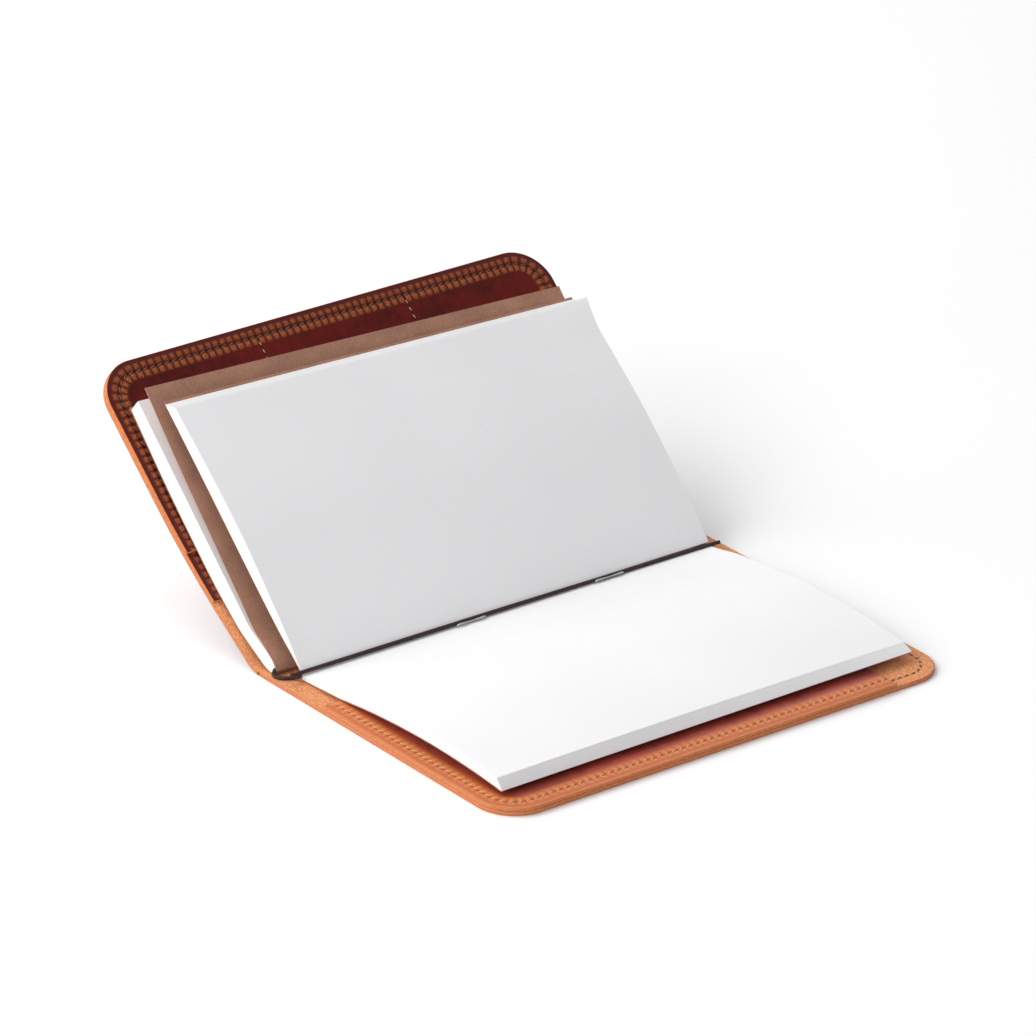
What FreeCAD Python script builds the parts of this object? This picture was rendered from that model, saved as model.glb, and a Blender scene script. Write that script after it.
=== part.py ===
import FreeCAD, Part
import math
import os

# A leather notebook cover standing open: its back half lies flat, its front
# half leans up behind the spine. It holds two stapled booklets. Booklet 1 lies
# closed on the front half; booklet 2 lies open across the spine.
# Millimetres. The cover is laid out flat first, like a leather pattern, and
# then folded at its hinge lines. +X runs from the spine to the back half's
# fore-edge, +Y from the near end to the far end, +Z up.

os.makedirs("parts", exist_ok=True)
V = FreeCAD.Vector

# ---- leather cover ----
cover_height = 228.0          # along the spine
corner_radius = 17.4          # outer corners at both fore-edges
leather = 2.0                 # outer leather thickness
edge_round = 0.45             # burnished edge of the outer leather
back_width = 143.1            # booklet 2's gutter to the back fore-edge
spine_overlap = 3.0           # back leather's reach past that gutter
spine_width = 16.4            # back fold to the spine's own bend, inner face
roll_width = 10.0             # from that bend to the front fold
shoulder_width = 22.0         # front leather from its fold to its soft bend
front_panel_width = 111.2     # soft bend to the front fore-edge
spine_bend = 33.1             # how far the spine rises past its bend
shoulder_bend = 6.6           # shoulder to front panel
fold_clearance = 0.02         # between the leather pieces at a fold

# ---- pockets ----
card_leather = 1.1            # each card pocket layer
lower_tier_mouth = 1.2        # from the soft bend to the lower tier's mouth
upper_tier_mouth = 24.7       # from the soft bend to the upper tier's mouth
mouth_round = 2.5             # rounded ends of each pocket mouth
back_leather = 1.5            # back pocket layer
back_pocket_start = 26.0      # gutter to the back pocket's inner edge
back_pocket_far_gap = 29.5    # back pocket's open end to the cover's far edge

# ---- seams ----
seam_inset = 5.6              # stitch line from the leather's edge
thread_width = 0.8
thread_height = 0.3
divider_near_y = -34.8        # stitch lines that divide the card pockets
divider_far_y = 40.8
divider_end_gap = 3.0         # divider stitching to the lower mouth

# ---- booklets ----
page_height = 210.0
centre_page_width = 124.6     # booklet 2's innermost leaf, right of the cord
left_page_width = 120.2       # the same leaf, left of the cord
closed_width = 119.2          # booklet 1, spine to its trimmed fore-edge
page_creep = 4.4              # how much further the outermost leaf reaches
kraft = 0.4                   # cover card thickness
kraft_overhang = 1.2          # cover card past the outermost leaf
booklet_play = 0.1            # between cover card and pages

# ---- booklet 2, open across the spine ----
gutter_z = 4.6                # height of the gutter's bottom
gutter_play = 0.1             # right half's pages from the gutter line
right_start = 1.5             # where the right half's underside begins
left_start = 0.6              # left half's fold from the gutter line
valley_width = 13.0           # where the pages rise out of the gutter
half_stack = 4.4              # pages in one half
bow = 4.2                     # how far the right half arches off the pocket
bow_centre = 90.0             # from the gutter to the top of that arch
right_foot = 26.0             # from the gutter to where the arch starts
right_tip_lift = 2.0          # clear of the pocket at the fore-edge
left_angle = 41.9             # left half above the table
staple_length = 14.0
staple_wire = 0.55
staple_near_y = -21.0
staple_far_y = 50.6
staple_offset = 2.6           # from the gutter, on the right half

# ---- booklet 1, closed on the front half ----
booklet_1_shift = -3.0        # towards the near end
booklet_1_stack = 6.8         # all pages, closed
booklet_1_angle = 40.0        # above the table
booklet_1_foot = 1.4          # from the spine's bend to booklet 1, along the leather
seat_clearance = 0.15         # between a booklet and the leather
leaf_lift = 3.5               # front cover card, sprung open
spine_round = 1.6             # folded spine of the page stack
spine_card_gap = 0.2          # turned-up cover card below the pages' top

# ---- elastics ----
elastic = 1.9                 # cord diameter
elastic_play = 0.08           # between cord and what it runs through
end_loop = 2.2                # cord's centre past a booklet's end
cord_rise = 1.4               # cord's centre over the gutter
booklet_1_seat = 4.2          # cord's centre from booklet 1's spine
booklet_2_seat = 1.0          # cord's centre from booklet 2's gutter
fold_gap = 2.2                # spine runs of the cord from each fold

# ---- derived ----
half_height = cover_height / 2
page_half = page_height / 2
cord_radius = elastic / 2
back_fold_x = -spine_overlap
spine_bend_x = back_fold_x - spine_width
front_fold_x = spine_bend_x - roll_width
bend_x = front_fold_x - shoulder_width
pocket_top = leather + back_leather
to_origin = V(-(back_width - spine_overlap) / 2, 0, 0)


def turned(shape, x, z, degrees):
    """A copy of a shape, turned about the line through (x, z) along the spine."""
    copy = shape.copy()
    copy.rotate(V(x, 0, z), V(0, 1, 0), degrees)
    return copy


def on_panel(shape):
    """Fold a piece of the flat pattern up with the front panel."""
    return on_shoulder(turned(shape, bend_x, leather, shoulder_bend))


def on_shoulder(shape):
    """Fold a piece of the flat pattern up with the leather past the spine's bend."""
    return turned(shape, spine_bend_x, leather, spine_bend)


def save(shape, name):
    shape = shape.copy()
    shape.translate(to_origin)
    shape.exportStep("parts/" + name + ".step")
    print(name, "solids", len(shape.Solids), "valid", shape.isValid(),
          "volume", round(shape.Volume, 2))


def box(x0, x1, y0, y1, z0, z1):
    return Part.makeBox(x1 - x0, y1 - y0, z1 - z0, V(x0, y0, z0))


def rounded_sheet(x_inner, x_outer, z0, thickness, inset=0.0):
    """A sheet of the pattern with round corners at its outer end."""
    side = 1 if x_outer > x_inner else -1
    tip = x_outer - side * inset
    end = half_height - inset
    radius = corner_radius - inset
    turn = tip - side * radius
    diagonal = radius * math.sqrt(0.5)
    lines = [
        Part.makeLine(V(x_inner, -end, z0), V(turn, -end, z0)),
        Part.Arc(V(turn, -end, z0),
                 V(turn + side * diagonal, -end + radius - diagonal, z0),
                 V(tip, -end + radius, z0)).toShape(),
        Part.makeLine(V(tip, -end + radius, z0), V(tip, end - radius, z0)),
        Part.Arc(V(tip, end - radius, z0),
                 V(turn + side * diagonal, end - radius + diagonal, z0),
                 V(turn, end, z0)).toShape(),
        Part.makeLine(V(turn, end, z0), V(x_inner, end, z0)),
        Part.makeLine(V(x_inner, end, z0), V(x_inner, -end, z0)),
    ]
    return Part.Face(Part.Wire(lines)).extrude(V(0, 0, thickness))


def burnished(sheet, x_keep):
    """Round a sheet's long edges, except at the end that meets a fold."""
    edges = []
    for edge in sheet.Edges:
        bound = edge.BoundBox
        flat = bound.ZLength < 1e-6
        at_fold = bound.XLength < 1e-6 and abs(bound.XMin - x_keep) < 1e-6
        if flat and not at_fold:
            edges.append(edge)
    return sheet.makeFillet(edge_round, edges)


def seam(x_inner, x_outer, z0):
    """A thread band that follows a sheet's outline, inset from its edge."""
    outer = rounded_sheet(x_inner, x_outer, z0, thread_height, seam_inset)
    side = 1 if x_outer > x_inner else -1
    inner = rounded_sheet(x_inner - side, x_outer, z0, thread_height,
                          seam_inset + thread_width)
    return outer.cut(inner)


def cord(points):
    """A cord of straight runs joined by tangent arcs."""
    runs = list(zip(points, points[1:]))
    edges = []
    start = points[0]
    for (a, b), (_, c) in zip(runs, runs[1:]):
        into = (b - a).normalize()
        out = (c - b).normalize()
        half_turn = into.getAngle(out) / 2
        reach = 0.45 * min((b - a).Length, (c - b).Length)
        first, last = b - into * reach, b + out * reach
        radius = reach / math.tan(half_turn)
        centre = b + (out - into).normalize() * (radius / math.cos(half_turn))
        middle = centre + (b - centre).normalize() * radius
        edges.append(Part.makeLine(start, first))
        edges.append(Part.Arc(first, middle, last).toShape())
        start = last
    edges.append(Part.makeLine(start, points[-1]))
    path = Part.Wire(edges)
    heading = points[1] - points[0]
    ring = Part.Wire([Part.makeCircle(cord_radius, points[0], heading)])
    return path.makePipeShell([ring], True, False)


# ================= outer leather =================
def outer_leather():
    back = burnished(rounded_sheet(back_fold_x, back_width, 0, leather), back_fold_x)
    strip = bent_sheet(back_fold_x - fold_clearance, spine_bend_x, spine_bend)
    roll = flat_sheet(spine_bend_x, front_fold_x + fold_clearance)
    spine = strip.fuse(on_shoulder(roll)).removeSplitter()
    panel = burnished(rounded_sheet(bend_x, bend_x - front_panel_width, 0, leather),
                      bend_x)
    shoulder = bent_sheet(front_fold_x, bend_x, shoulder_bend)
    front = on_shoulder(shoulder).fuse(on_panel(panel)).removeSplitter()
    return back, spine, front


def flat_sheet(x_start, x_end):
    return box(x_end, x_start, -half_height, half_height, 0, leather)


def bent_sheet(x_start, x_end, bend):
    """Leather whose outer face reaches round to a bend at its far end."""
    wedge = leather * math.tan(math.radians(bend) / 2)
    low, high = V(x_start, -half_height, 0), V(x_start, -half_height, leather)
    section = Part.makePolygon([
        low, high, V(x_end, -half_height, leather), V(x_end - wedge, -half_height, 0), low])
    return Part.Face(section).extrude(V(0, cover_height, 0)).fuse(
        bend_filler(x_end, wedge, bend))


def bend_filler(x, wedge, bend):
    """The outer corner's other half, between the bend and the next sheet."""
    axis, corner = V(x, -half_height, leather), V(x - wedge, -half_height, 0)
    next_low = turned(Part.Vertex(V(x, -half_height, 0)), x, leather, bend).Point
    section = Part.makePolygon([axis, corner, next_low, axis])
    return Part.Face(section).extrude(V(0, cover_height, 0))


# ================= pockets =================
def card_pocket(mouth, z0):
    """One card pocket layer, open towards the spine."""
    inner = bend_x - mouth
    sheet = rounded_sheet(inner, bend_x - front_panel_width, z0, card_leather)
    corners = [e for e in sheet.Edges if e.BoundBox.ZLength > card_leather / 2
               and abs(e.BoundBox.XMin - inner) < 1e-6]
    return on_panel(sheet.makeFillet(mouth_round, corners))


def back_pocket():
    """The back half's pocket, open at its far end."""
    outline = rounded_sheet(back_fold_x, back_width, leather, back_leather)
    part = box(back_pocket_start, back_width + 1, -half_height - 1,
               half_height - back_pocket_far_gap, leather, pocket_top)
    return outline.common(part)


# ================= seams =================
def back_seam():
    """Stitching along the pocket, and on past it round the far corner."""
    on_pocket = seam(back_pocket_start + seam_inset, back_width, pocket_top)
    on_leather = seam(back_pocket_start + seam_inset, back_width, leather)
    y_split = half_height - back_pocket_far_gap
    near = box(0, back_width, -half_height, y_split - 1, 0, 2 * pocket_top)
    far = box(0, back_width, y_split + 1, half_height, 0, 2 * pocket_top)
    return Part.makeCompound([on_pocket.common(near), on_leather.common(far)])


def front_seam():
    top = leather + 2 * card_leather
    return on_panel(seam(bend_x - upper_tier_mouth - 1, bend_x - front_panel_width, top))


def divider(y):
    """A stitch line across both tiers, between two columns of pockets."""
    top = leather + 2 * card_leather
    start = bend_x - upper_tier_mouth - divider_end_gap
    end = bend_x - front_panel_width + seam_inset + 2 * thread_width
    return on_panel(box(end, start, y - thread_width / 2, y + thread_width / 2,
                        top, top + thread_height))


# ================= booklet 2 =================
def right_half_floor(lift):
    """The right half's underside: flat to its foot, then one long arch."""
    tip_x = centre_page_width + page_creep
    return [V(right_start, 0, leather + seat_clearance + lift),
            V(right_foot, 0, pocket_top + seat_clearance + lift),
            V(bow_centre, 0, pocket_top + bow + lift),
            V(tip_x, 0, pocket_top + right_tip_lift + lift)]


def right_half():
    low = right_half_floor(kraft + booklet_play)
    high = right_half_floor(kraft + booklet_play + half_stack)
    spine_low = V(gutter_play, 0, low[0].z)
    spine_high = V(gutter_play, 0, gutter_z)
    valley = V(valley_width, 0, high[1].z)
    tip = V(centre_page_width, 0, high[-1].z)
    section = Part.Wire([
        Part.makeLine(spine_low, low[0]), Part.makeLine(low[0], low[1]),
        Part.Arc(low[1], low[2], low[3]).toShape(), Part.makeLine(low[3], tip),
        Part.Arc(tip, high[2], valley).toShape(), Part.makeLine(valley, spine_high),
        Part.makeLine(spine_high, spine_low)])
    return along_page(section)


def right_cover():
    low = right_half_floor(0)
    high = right_half_floor(kraft)
    reach = V(kraft_overhang, 0, 0)
    section = Part.Wire([
        Part.makeLine(low[0], low[1]), Part.Arc(low[1], low[2], low[3]).toShape(),
        Part.makeLine(low[3], low[3] + reach),
        Part.makeLine(low[3] + reach, high[3] + reach),
        Part.makeLine(high[3] + reach, high[3]),
        Part.Arc(high[3], high[2], high[1]).toShape(),
        Part.makeLine(high[1], high[0]), Part.makeLine(high[0], low[0])])
    return along_page(section)


def along_page(section):
    """Extrude a section over a booklet's whole height."""
    prism = Part.Face(section).extrude(V(0, page_height, 0))
    prism.translate(V(0, -page_half, 0))
    return prism


def left_flat(points):
    """A prism from (distance from the gutter, height over it) pairs."""
    path = [V(-u, -page_half, gutter_z + n) for u, n in points]
    face = Part.Face(Part.makePolygon(path + path[:1]))
    return turned(face.extrude(V(0, page_height, 0)), 0, gutter_z, left_angle)


def left_half():
    bottom = kraft + booklet_play
    top = bottom + half_stack
    fold = left_start
    return left_flat([(fold, bottom), (left_page_width + page_creep, bottom),
                      (left_page_width, top), (valley_width, top),
                      (valley_width / 2, top * 0.8), (2 * fold, bottom + kraft)])


def left_cover():
    fold = left_start
    tip = left_page_width + page_creep + kraft_overhang
    return left_flat([(fold, 0), (tip, 0), (tip, kraft), (fold, kraft)])


def staples(x, z, shift=0.0):
    """Two wire staples, lying along a booklet's fold."""
    wire = staple_wire / 2
    pair = []
    for y in (staple_near_y + shift, staple_far_y + shift):
        start, end = V(x, y - staple_length / 2, z), V(x, y + staple_length / 2, z)
        bar = Part.makeCylinder(wire, staple_length, start, V(0, 1, 0))
        pair.append(bar.fuse([Part.makeSphere(wire, start), Part.makeSphere(wire, end)]))
    return Part.makeCompound(pair)


def booklet_2_staples():
    """The clinched legs, on the right half beside the gutter."""
    rise = right_half_floor(kraft + booklet_play + half_stack)[1].z - gutter_z
    slope = rise / (valley_width - gutter_play)
    surface = gutter_z + slope * (staple_offset - gutter_play)
    return staples(staple_offset, surface + staple_wire * 0.6)


# ================= elastic =================
def booklet_2_strand():
    """The cord in the open gutter, with its ends turned down to the leather."""
    top = gutter_z + cord_rise
    end = page_half + end_loop
    foot = leather + elastic_play
    x = booklet_2_seat
    return cord([V(x, -end, foot), V(x, -end, top), V(x, end, top), V(x, end, foot)])


def spine_runs():
    """The cord's two runs across the spine, between the booklets."""
    z = leather + cord_radius + elastic_play
    start = spine_bend_x + fold_gap
    length = back_fold_x - fold_gap - start
    runs = []
    for y in (-page_half - end_loop, page_half + end_loop):
        runs.append(Part.makeCylinder(cord_radius, length, V(start, y, z), V(1, 0, 0)))
    return Part.makeCompound(runs)


def booklet_1_strand():
    """The cord through the closed booklet, with its ends turned to the spine."""
    middle = kraft + booklet_play + booklet_1_stack / 2
    end = page_half + end_loop
    seat = -booklet_1_seat
    return cord([V(0, -end, middle), V(seat, -end, middle),
                 V(seat, end, middle), V(0, end, middle)])


# ================= booklet 1 =================
def booklet_1_place(shape):
    """Put a piece of the closed booklet, laid flat at the origin, on the front."""
    shape = turned(shape, 0, 0, booklet_1_angle)
    fold = math.radians(spine_bend)
    foot = V(spine_bend_x, 0, leather)
    foot += V(-math.cos(fold), 0, math.sin(fold)) * booklet_1_foot
    foot += V(math.sin(fold), 0, math.cos(fold)) * seat_clearance
    shape.translate(foot + V(0, booklet_1_shift, 0))
    return shape


def flat_block(width_low, width_high, z0, z1, x0=0.0):
    section = Part.makePolygon([
        V(-x0, -page_half, z0), V(-width_low, -page_half, z0),
        V(-width_high, -page_half, z1), V(-x0, -page_half, z1),
        V(-x0, -page_half, z0)])
    return Part.Face(section).extrude(V(0, page_height, 0))


def booklet_1_pages():
    """Lower and upper half of the closed page stack, with the cords' channel."""
    low = kraft + booklet_play
    middle = low + booklet_1_stack / 2
    high = low + booklet_1_stack
    tip = closed_width
    lower = flat_block(tip, tip, low, middle - booklet_play / 2, kraft)
    upper = flat_block(tip, tip, middle + booklet_play / 2, high, kraft)
    channel = Part.makeCylinder(cord_radius + elastic_play, page_height + 2,
                                V(-booklet_1_seat, -page_half - 1, middle), V(0, 1, 0))
    lower = lower.makeFillet(spine_round, spine_edges(lower, low))
    upper = upper.makeFillet(spine_round, spine_edges(upper, high))
    return lower.cut(channel), upper.cut(channel)


def spine_edges(block, z):
    return [e for e in block.Edges if e.BoundBox.YLength > page_half
            and abs(e.BoundBox.XMax + kraft) < 1e-6 and abs(e.BoundBox.ZMax - z) < 1e-6]


def booklet_1_back_cover():
    """Cover card under the pages, turned up round the spine."""
    tip = closed_width + kraft_overhang
    high = kraft + booklet_play + booklet_1_stack
    floor = flat_block(tip, tip, 0, kraft)
    spine = flat_block(kraft, kraft, 0, high - spine_card_gap)
    return floor.fuse(spine).removeSplitter()


def booklet_1_leaf():
    """Front cover card, sprung open about the spine's top edge."""
    tip = closed_width + kraft_overhang
    z0 = 2 * booklet_play + kraft + booklet_1_stack
    return turned(flat_block(tip, tip, z0, z0 + kraft), 0, z0, leaf_lift)


parts = {}
back, spine, front = outer_leather()
parts["outer_leather_back"] = back
parts["outer_leather_spine"] = spine
parts["outer_leather_front"] = front
parts["card_pocket_lower_tier"] = card_pocket(lower_tier_mouth, leather)
parts["card_pocket_upper_tier"] = card_pocket(upper_tier_mouth, leather + card_leather)
parts["back_pocket_panel"] = back_pocket()
parts["back_seam_thread"] = back_seam()
parts["front_seam_thread"] = front_seam()
parts["divider_thread_near"] = divider(divider_near_y)
parts["divider_thread_far"] = divider(divider_far_y)
parts["booklet_2_pages_right"] = right_half()
parts["booklet_2_cover_right"] = right_cover()
parts["booklet_2_pages_left"] = left_half()
parts["booklet_2_cover_left"] = left_cover()
lower, upper = booklet_1_pages()
parts["booklet_1_pages_back_half"] = booklet_1_place(lower)
parts["booklet_1_pages_front_half"] = booklet_1_place(upper)
parts["booklet_1_cover_back"] = booklet_1_place(booklet_1_back_cover())
parts["booklet_1_cover_front"] = booklet_1_place(booklet_1_leaf())

parts["booklet_2_staples"] = booklet_2_staples()
parts["booklet_1_staples"] = booklet_1_place(staples(
    staple_wire / 2 + booklet_play, kraft + booklet_play + booklet_1_stack / 2))
parts["elastic_booklet_2_strand"] = booklet_2_strand()
parts["elastic_spine_runs"] = spine_runs()
parts["elastic_booklet_1_strand"] = booklet_1_place(booklet_1_strand())

for name, shape in parts.items():
    save(shape, name)
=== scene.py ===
"""Leather notebook cover, lying open: leather, paper, kraft, thread, elastic and wire over the solids.

Lengths are in millimetres until row() or folded() turns points into metres of the shared frame.
What tube() takes, the depth of a bump, the floor, the lights and the camera are in metres.
"""
import math

import bmesh
import bpy
import numpy as np
from mathutils import Matrix, Vector


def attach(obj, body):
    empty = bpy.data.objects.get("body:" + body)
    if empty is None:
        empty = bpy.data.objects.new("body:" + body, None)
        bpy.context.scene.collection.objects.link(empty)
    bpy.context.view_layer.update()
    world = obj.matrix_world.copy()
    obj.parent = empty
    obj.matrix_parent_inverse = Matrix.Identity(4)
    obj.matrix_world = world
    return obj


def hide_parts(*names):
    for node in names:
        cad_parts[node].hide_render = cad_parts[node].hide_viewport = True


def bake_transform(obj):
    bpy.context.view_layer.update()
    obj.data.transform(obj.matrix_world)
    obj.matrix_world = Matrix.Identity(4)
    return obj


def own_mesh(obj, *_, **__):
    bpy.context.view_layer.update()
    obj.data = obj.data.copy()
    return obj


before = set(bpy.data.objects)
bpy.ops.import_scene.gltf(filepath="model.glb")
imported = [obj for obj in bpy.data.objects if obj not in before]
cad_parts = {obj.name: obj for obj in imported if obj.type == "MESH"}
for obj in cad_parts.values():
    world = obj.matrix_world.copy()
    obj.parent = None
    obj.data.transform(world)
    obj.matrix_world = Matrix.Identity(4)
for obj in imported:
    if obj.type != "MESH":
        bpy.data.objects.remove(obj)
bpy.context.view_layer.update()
rng = np.random.default_rng(7)

# The solids' own sizes. Across the cover, x is counted from booklet 2's gutter, on leather that
# isn't folded yet. Heights are counted from the leather's outer face.
GUTTER_TO_ORIGIN = 70.05                # the shared frame's origin, to the right of the gutter
HEIGHT = 228.0
CORNER = 17.4
LEATHER = 2.0
CARD_LEATHER = 1.1
BACK_LEATHER = 1.5
BACK_TIP = 143.1
FRONT_TIP = -162.6
SPINE_BEND = (-19.4, 33.1, 14.0)        # place, degrees, inside radius
SHOULDER_BEND = (-74.0, 8.4, 420.0)     # the front's gentle curve
BACK_FOLD = -3.0
FRONT_FOLD = -29.4
SPINE_MIDDLE = (BACK_FOLD + FRONT_FOLD) / 2
LOWER_MOUTH = -52.6
UPPER_MOUTH = -76.1
BACK_POCKET_INNER = 26.0
BACK_POCKET_FAR = HEIGHT / 2 - 29.5
SEAM = 5.6                              # stitch line from the edge
PITCH = 3.6
DIVIDERS = (-34.8, 40.8)
DIVIDER_START = LOWER_MOUTH - 2

PAGE = 210.0
KRAFT = 0.4
RIGHT_WIDTH = 124.6                     # the innermost leaf of each half
LEFT_WIDTH = 120.2
CLOSED_WIDTH = 119.2
CREEP = 4.4                             # the outermost leaf is this much wider
OVERHANG = 1.2                          # of a kraft cover past its pages
GUTTER_Z = 4.6
LEFT_ANGLE = 41.9
ANGLE_1 = 40.0                          # booklet 1, over the table
SHIFT_1 = -3.0                          # booklet 1, towards the near end
STAPLES_Y = (-21.0, 50.6)

# What only this script knows, because the solids don't show it.
SEAM_ROWS = (2.1, 2.0)                  # the pillows' two rows, outward and inward of the stitches
BACK_SEAM_ROWS = (1.5, 1.5)
SEAM_FADE = 1.2                         # the seam's relief fades in over this length
CORD_RADIUS = 0.75
WIRE_RADIUS = 0.275
THREAD_SINK = 0.12                      # thread pulled into the leather

pieces = {}


# ------------------------------------------------------------------ geometry
def turn(x, z, cx, cz, degrees):
    """Turn points about a line along Y; the -X side rises."""
    a = math.radians(degrees)
    u, w = x - cx, z - cz
    return cx + u * math.cos(a) + w * math.sin(a), cz - u * math.sin(a) + w * math.cos(a)


def bend(x, z, place, degrees, radius):
    """Fold flat leather upward on the -X side of a place, round a soft radius."""
    a = math.radians(degrees)
    half = radius * math.tan(a / 2)
    far_x, far_z = turn(x, z, place, LEATHER, degrees)
    phi = a * np.clip((place + half - x) / (2 * half), 0, 1)
    reach = radius + LEATHER - z
    arc_x = place + half - reach * np.sin(phi)
    arc_z = LEATHER + radius - reach * np.cos(phi)
    on_arc = x > place - half
    flat = x >= place + half
    return (np.where(flat, x, np.where(on_arc, arc_x, far_x)),
            np.where(flat, z, np.where(on_arc, arc_z, far_z)))


def folded(points):
    """Points on the flat leather (x, y, height) to the shared frame in metres."""
    p = np.asarray(points, float)
    x, y, z = p[:, 0], p[:, 1], p[:, 2]
    x, z = bend(x, z, *SHOULDER_BEND)
    x, z = bend(x, z, *SPINE_BEND)
    return np.stack([x - GUTTER_TO_ORIGIN, y, z], 1) / 1000


def row(points):
    """Points of the object as it lies, x from the gutter, to the shared frame in metres."""
    p = np.asarray(points, float)
    return (p - [GUTTER_TO_ORIGIN, 0, 0]) / 1000


def make(name, verts, faces, attributes=None, crisp=None):
    """A piece from its points and faces, which are turned outward. It's smooth all over, or
    crisp at the edges sharper than that many degrees."""
    mesh = bpy.data.meshes.new(name)
    faces = faces if isinstance(faces, list) else faces.tolist()
    mesh.from_pydata(np.asarray(verts, float).tolist(), [], faces)
    form = bmesh.new()
    form.from_mesh(mesh)
    bmesh.ops.recalc_face_normals(form, faces=form.faces)
    form.to_mesh(mesh)
    form.free()
    mesh.validate()
    mesh.polygons.foreach_set("use_smooth", [True] * len(mesh.polygons))
    if crisp:
        mesh.set_sharp_from_angle(angle=math.radians(crisp))
    for key, value in (attributes or {}).items():
        value = np.asarray(value, np.float32)
        kind = "FLOAT_VECTOR" if value.ndim == 2 else "FLOAT"
        data = mesh.attributes.new(key, kind, "POINT")
        data.data.foreach_set("vector" if value.ndim == 2 else "value", value.ravel())
    mesh.update()
    pieces[name] = bpy.data.objects.new(name, mesh)
    bpy.context.scene.collection.objects.link(pieces[name])


def grid_faces(rows, columns, close=False, start=0):
    """Quads of a grid of points, numbered from start; close joins its last column to its first."""
    i, j = np.meshgrid(np.arange(rows - 1), np.arange(columns if close else columns - 1), indexing="ij")
    k = (j + 1) % columns
    corners = [i * columns + j, i * columns + k, (i + 1) * columns + k, (i + 1) * columns + j]
    return start + np.stack(corners, -1).reshape(-1, 4)


def steps(start, end, size):
    return np.linspace(start, end, max(2, int(round(abs(end - start) / size)) + 1))


def unit(vectors):
    return vectors / np.linalg.norm(vectors, axis=1)[:, None]


def way_along(points):
    """How far each point lies along its line."""
    return np.concatenate([[0], np.cumsum(np.linalg.norm(np.diff(points, axis=0), axis=1))])


def smooth_line(points, count=160):
    """A smooth curve through a few points (Catmull-Rom)."""
    p = np.asarray(points, float)
    p = np.vstack([2 * p[0] - p[1], p, 2 * p[-1] - p[-2]])
    out = []
    for k in range(1, len(p) - 2):
        t = np.linspace(0, 1, max(4, count // (len(p) - 3)), endpoint=False)[:, None]
        a, b, c, d = p[k - 1:k + 3]
        square, cube = 2 * a - 5 * b + 4 * c - d, 3 * b - a - 3 * c + d
        out.append(0.5 * (2 * b + (c - a) * t + square * t**2 + cube * t**3))
    return np.vstack(out + [p[-2:-1]])


def even(points, s):
    """Points at the fractions s of a smooth curve's length."""
    line = smooth_line(points, 400)
    way = way_along(line)
    way /= way[-1]
    return np.stack([np.interp(s, way, line[:, 0]), np.interp(s, way, line[:, 1])], 1)


def at(points, u):
    """Height of a smooth curve through (u, height) points."""
    line = smooth_line(points, 400)
    return np.interp(u, line[:, 0], line[:, 1])


def circle_height(x, p, q, r):
    """Height at x on the circle through three (x, z) points."""
    (ax, ay), (bx, by), (cx, cy) = p, q, r
    d = 2 * (ax * (by - cy) + bx * (cy - ay) + cx * (ay - by))
    a2, b2, c2 = ax**2 + ay**2, bx**2 + by**2, cx**2 + cy**2
    ux = (a2 * (by - cy) + b2 * (cy - ay) + c2 * (ay - by)) / d
    uy = (a2 * (cx - bx) + b2 * (ax - cx) + c2 * (bx - ax)) / d
    return uy + np.sqrt(np.maximum((ax - ux) ** 2 + (ay - uy) ** 2 - (x - ux) ** 2, 0))


# ------------------------------------------------------------------ leather sheets
class Outline:
    """A rounded rectangle of the flat leather, square at its inner end. Its seam starts at seam_from."""

    def __init__(self, inner, tip, seam_from, high=HEIGHT / 2, far=CORNER):
        self.side = 1 if tip > inner else -1
        self.length = abs(tip - inner)
        self.inner, self.low, self.high = inner, -HEIGHT / 2, high
        self.near, self.far, self.seam_from = CORNER, far, seam_from

    def place(self, u, y, inset=0.0):
        """Square grid (u from the inner end, y) to the rounded outline."""
        u, y = u.astype(float).copy(), y.astype(float).copy()
        for r, edge, sign in ((self.near, self.low, -1), (self.far, self.high, 1)):
            if r <= 0:
                continue
            r = max(r - inset, 0.05)
            a = (u - (self.length - inset - r)) / r
            b = sign * (y - (edge - sign * (inset + r))) / r
            at_corner = (a > 0) & (b > 0)
            big = np.maximum(a, b) + 1e-12
            angle = np.where(a >= b, math.pi / 4 * b / big, math.pi / 2 - math.pi / 4 * a / big)
            out = np.maximum(a, b)
            u = np.where(at_corner, self.length - inset - r + r * out * np.cos(angle), u)
            y = np.where(at_corner, edge - sign * (inset + r) + sign * r * out * np.sin(angle), y)
        return self.inner + self.side * u, y

    def seam_length(self):
        """From the seam's start to the tip, straight across."""
        return self.side * (self.inner - self.seam_from) + self.length

    def edge(self, x, y):
        """Distance inside the cover's outline, the way along its seam, and where there is a seam."""
        u = self.side * (x - self.seam_from)
        length = self.seam_length()
        tip, low, high = length - u, y + HEIGHT / 2, HEIGHT / 2 - y
        distance = np.minimum(np.minimum(tip, low), high)
        bow, r = (CORNER - SEAM) * math.pi / 2, CORNER
        second_corner = length - r + 2 * bow + HEIGHT - 2 * r
        tip_way = length - r + bow + low - r
        far_way = second_corner + length - r - u
        along = np.where(tip < np.minimum(low, high), tip_way, np.where(low < high, u, far_way))
        for gap, base, sign in ((low, length - r, 1), (high, second_corner, -1)):
            a, b = r - tip, r - gap
            at_corner = (a > 0) & (b > 0)
            distance = np.where(at_corner, r - np.hypot(a, b), distance)
            along = np.where(at_corner, base + sign * (r - SEAM) * np.arctan2(a, b), along)
        return distance, along, np.clip(u + SEAM_FADE, 0, 1)


def outward(x, y, side):
    """Mitred outward directions at the points of a closed ring."""
    ahead = unit(np.stack([np.roll(x, -1) - x, np.roll(y, -1) - y], 1))
    behind = np.roll(ahead, 1, axis=0)
    normal = np.stack([ahead[:, 1] + behind[:, 1], -(ahead[:, 0] + behind[:, 0])], 1) * side
    return normal / np.maximum((normal ** 2).sum(1) / 2, 1)[:, None]


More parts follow.
